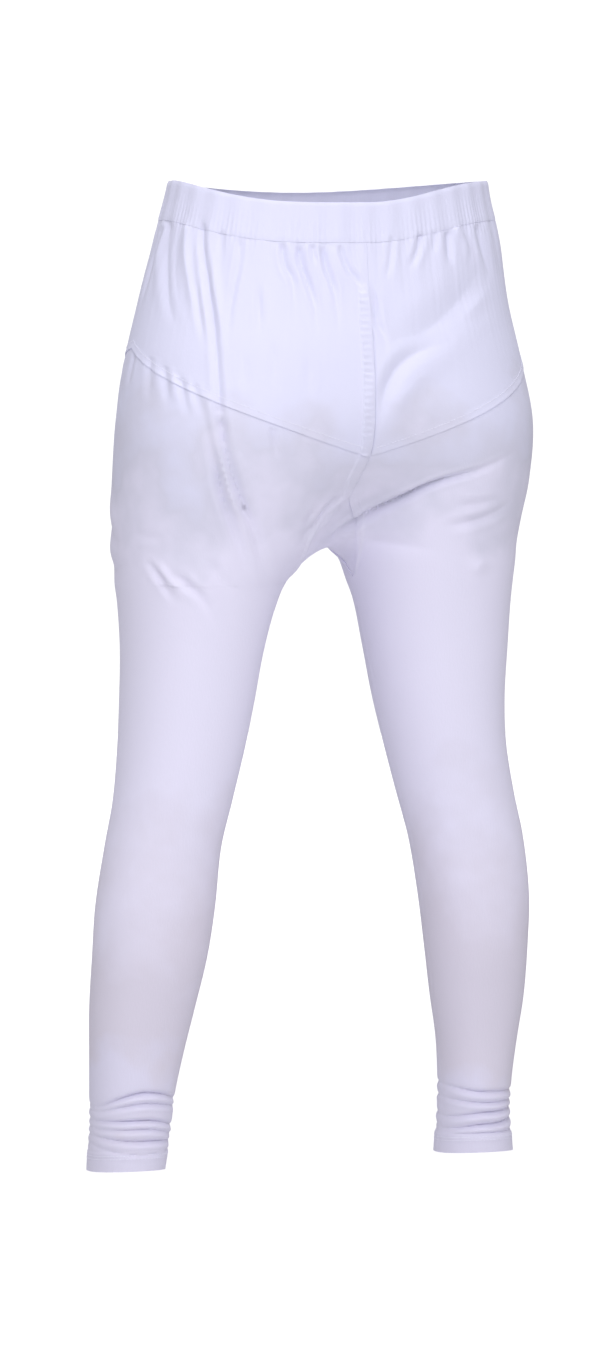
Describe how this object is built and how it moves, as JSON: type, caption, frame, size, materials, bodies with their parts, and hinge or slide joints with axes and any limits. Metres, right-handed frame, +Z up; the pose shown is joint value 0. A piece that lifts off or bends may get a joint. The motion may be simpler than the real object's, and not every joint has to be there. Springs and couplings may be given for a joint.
{
  "type": "leggings",
  "caption": "Close-fitting stretch leggings, filled out as worn with the legs apart: elasticated waistband, deep gathered seat yoke, gusset and long ruched ankles.",
  "frame": {"origin": "centre of the waistband's upper edge, level with its highest points at the sides", "axes": "+Z up, the front of the garment faces -Y, the wearer's left leg is at +X"},
  "size_m": [0.4224, 0.2481, 0.9032],
  "materials": {
    "jersey": "matt white stretch cotton jersey",
    "band": "matt white stretch cotton over elastic"
  },
  "bodies": {
    "root": {"waistband": "band", "yoke_left": "jersey", "yoke_right": "jersey", "leg_left": "jersey", "leg_right": "jersey", "gusset": "jersey"}
  },
  "joints": []
}
